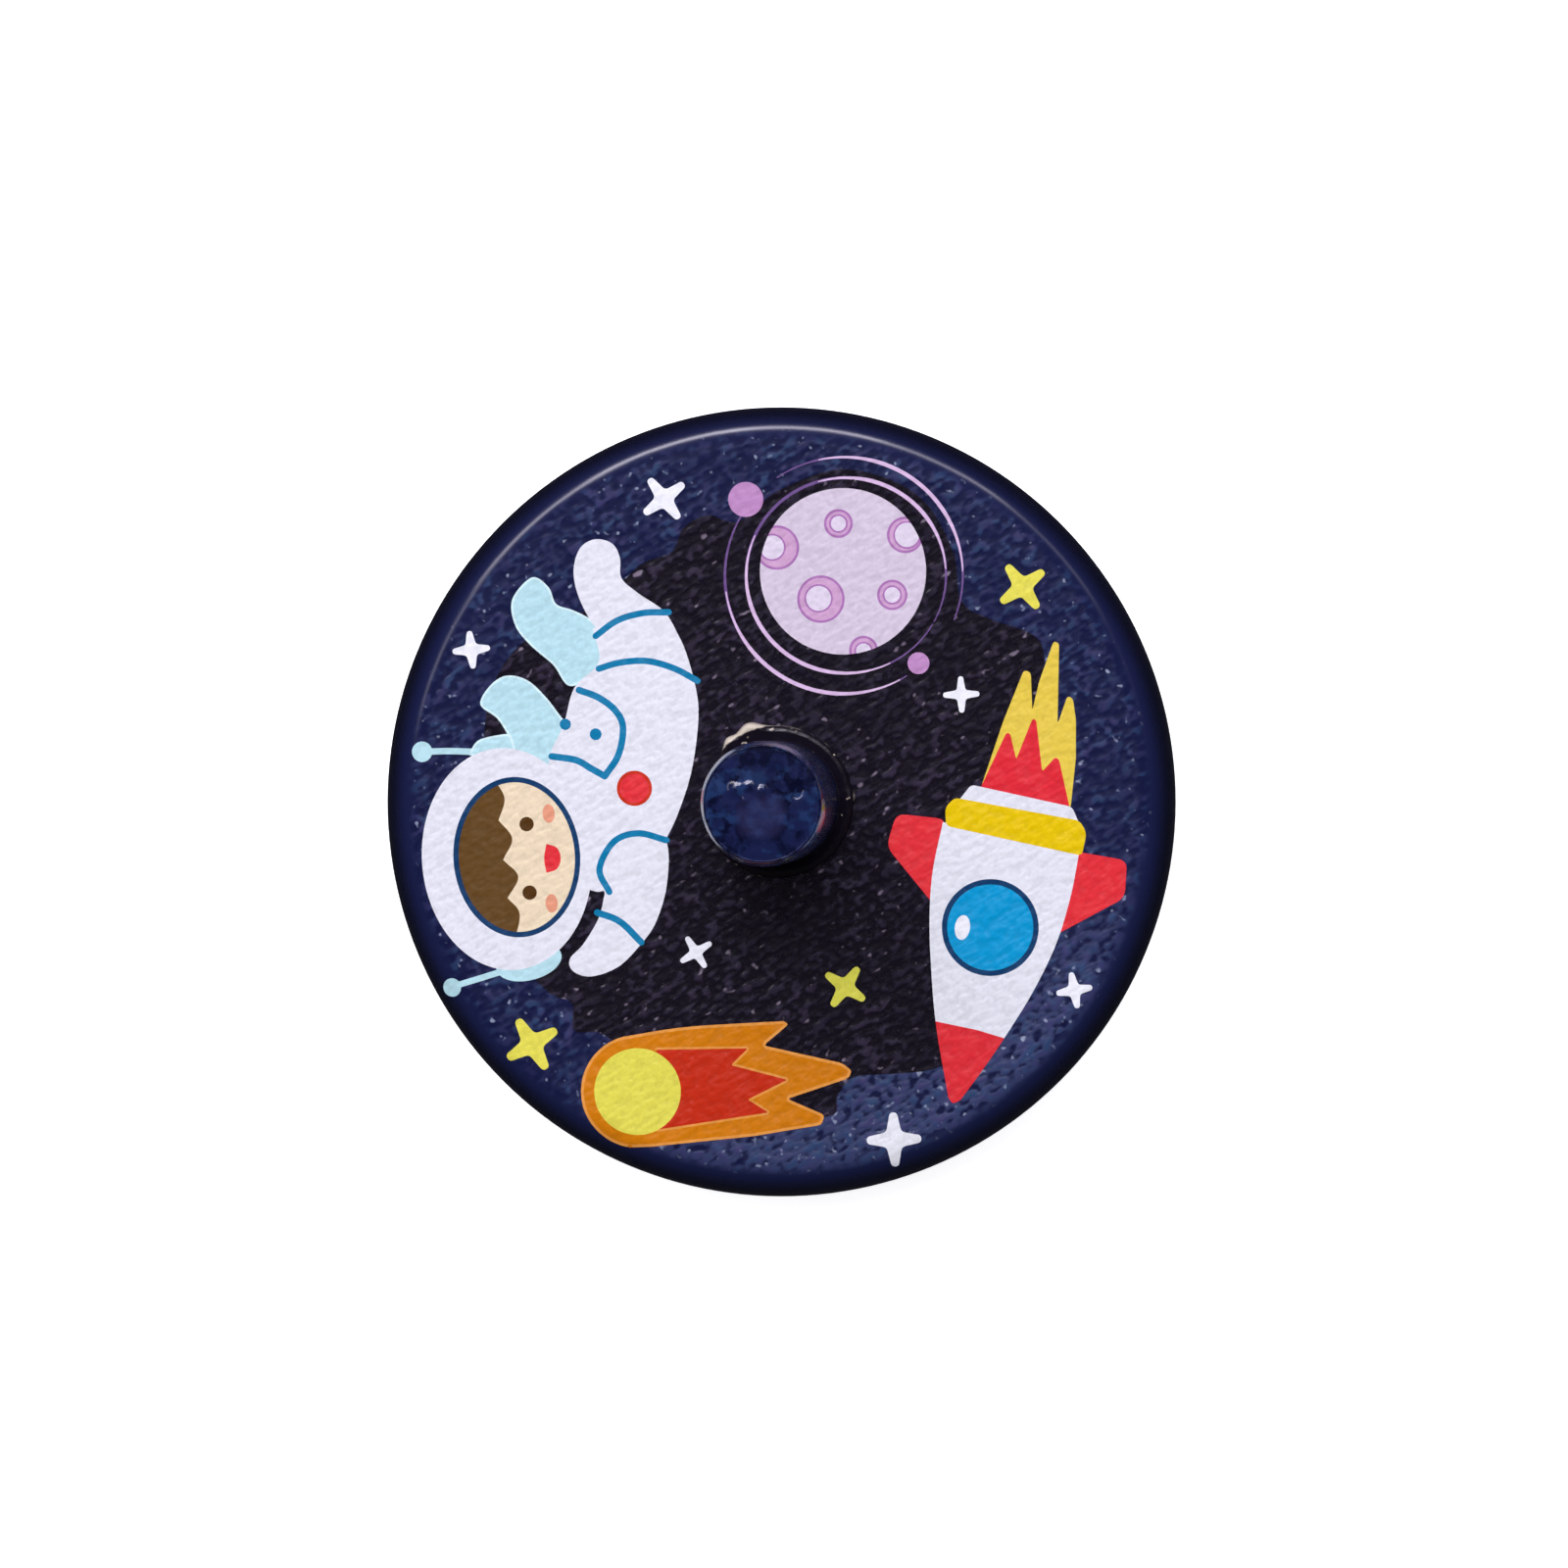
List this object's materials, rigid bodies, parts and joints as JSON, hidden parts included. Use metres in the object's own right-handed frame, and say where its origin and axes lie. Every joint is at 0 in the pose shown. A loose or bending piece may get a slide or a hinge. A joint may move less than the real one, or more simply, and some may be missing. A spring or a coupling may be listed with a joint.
{
  "type": "spinning top",
  "caption": "Small painted wooden spinning top: a flat round disc with rounded edges on a spindle with a twirling handle and a pointed tip.",
  "frame": {"origin": "the spindle's tip, where the top touches the table as it spins", "axes": "+Z along the spindle, from the tip up to the end of the handle; +X and +Y in the disc's plane, with the picture upright along +Y"},
  "size_m": [0.052, 0.052, 0.036],
  "materials": {
    "disc": "glossy navy paint with a printed space picture on the upper face",
    "spindle": "thick glossy navy dipped paint",
    "glue_bead": "dried glue under navy lacquer, glossy"
  },
  "bodies": {
    "root": {"disc": "disc", "spindle": "spindle", "glue_bead": "glue_bead"}
  },
  "joints": []
}
